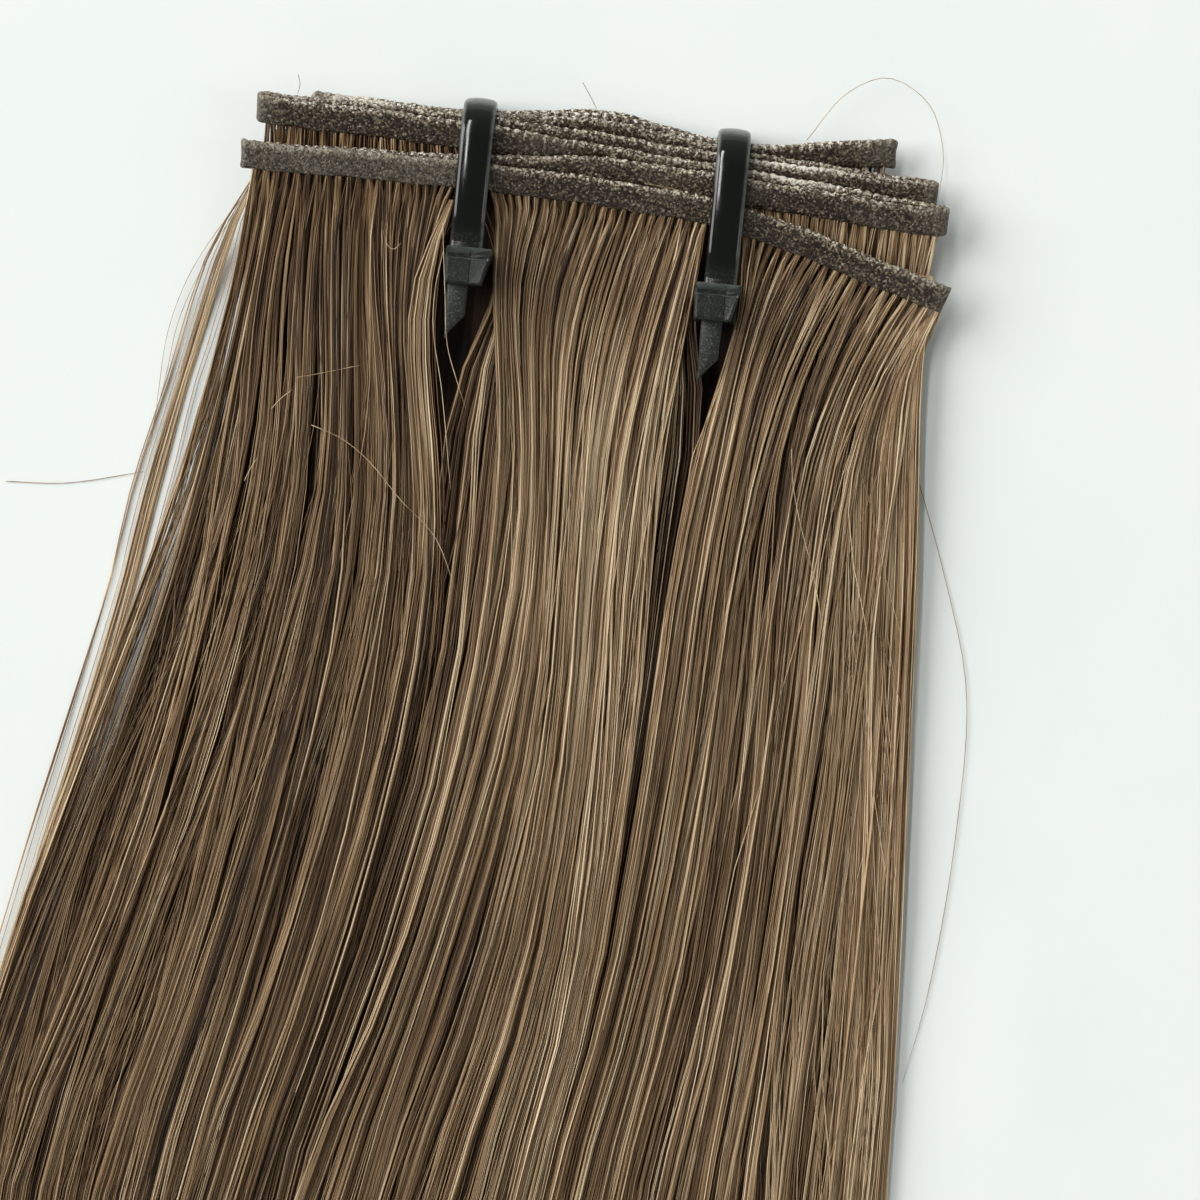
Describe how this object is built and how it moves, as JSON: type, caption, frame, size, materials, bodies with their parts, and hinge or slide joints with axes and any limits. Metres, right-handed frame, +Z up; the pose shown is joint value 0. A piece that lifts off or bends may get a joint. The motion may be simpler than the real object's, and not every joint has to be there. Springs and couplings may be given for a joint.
{
  "type": "folded hair weft with cable ties",
  "caption": "Straight brown hair weft, its sewn band folded to and fro in a pile and held by black cable ties, lying flat with the hair fanned out.",
  "frame": {"origin": "on the floor, under the middle of the box round the whole weft", "axes": "+Y from the hair tips to the band, +X along the band, +Z up off the floor that the weft lies on"},
  "size_m": [0.1408, 0.3692, 0.0107],
  "materials": {
    "weft_band": "dark brown sewn band with a clear, speckled, glossy coat",
    "hair": "straight brown hair with a soft sheen and lighter strands",
    "tie": "black nylon, glossy strap and duller head"
  },
  "bodies": {
    "root": {"weft_band": "weft_band", "hair": "hair", "tie_left": "tie", "tie_right": "tie"}
  },
  "joints": []
}
